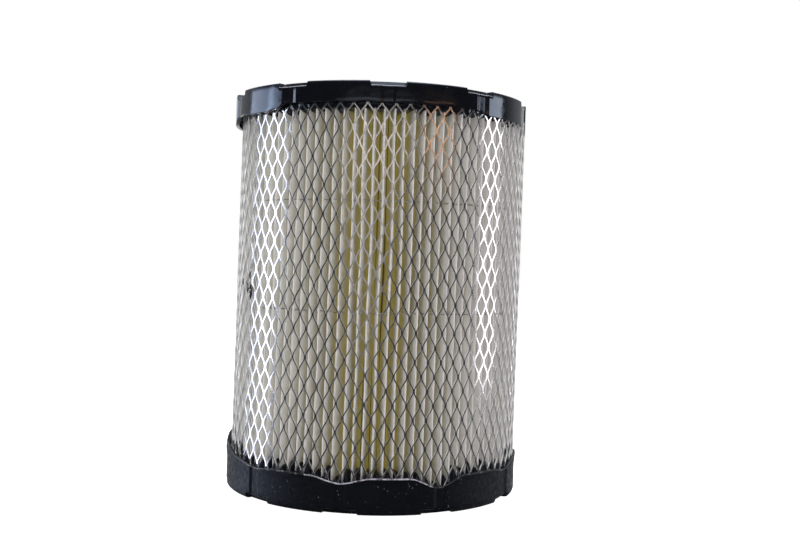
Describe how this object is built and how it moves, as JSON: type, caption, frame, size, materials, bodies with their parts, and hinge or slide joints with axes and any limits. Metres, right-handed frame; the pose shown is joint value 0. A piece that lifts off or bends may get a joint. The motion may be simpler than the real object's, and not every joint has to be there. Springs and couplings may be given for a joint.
{
  "type": "air filter cartridge",
  "caption": "Cylindrical pleated-paper air filter cartridge with moulded black end caps, expanded-metal screens inside and outside, and a clear central bore.",
  "frame": {"origin": "centre of the bottom end cap's face, on the cartridge's axis", "axes": "+Z along the cartridge's axis from the bottom cap to the top cap; -Y is the side the outer screen's lapped seam is nearest to, 57 degrees round towards -X"},
  "size_m": [0.111, 0.111, 0.146],
  "materials": {
    "bottom_cap_elastomer": "satin moulded elastomer with fine pits and speckle",
    "top_cap_elastomer": "glossy moulded skin",
    "outer_screen_metal": "bright expanded metal",
    "inner_screen_metal": "zinc-plated expanded steel",
    "filter_paper": "resin-treated cellulose, matte and fibrous",
    "clip_steel": "plain tinplate",
    "hot_melt_glue": "translucent hot-melt bead",
    "crimp_steel": "dark crushed metal"
  },
  "bodies": {
    "root": {"bottom_end_cap": "bottom_cap_elastomer", "top_end_cap": "top_cap_elastomer", "outer_screen": "outer_screen_metal", "inner_screen": "inner_screen_metal", "pleated_paper": "filter_paper", "paper_seam_clip": "clip_steel", "pleat_bead_upper": "hot_melt_glue", "pleat_bead_lower": "hot_melt_glue", "outer_screen_seam_crimp": "crimp_steel"}
  },
  "joints": []
}
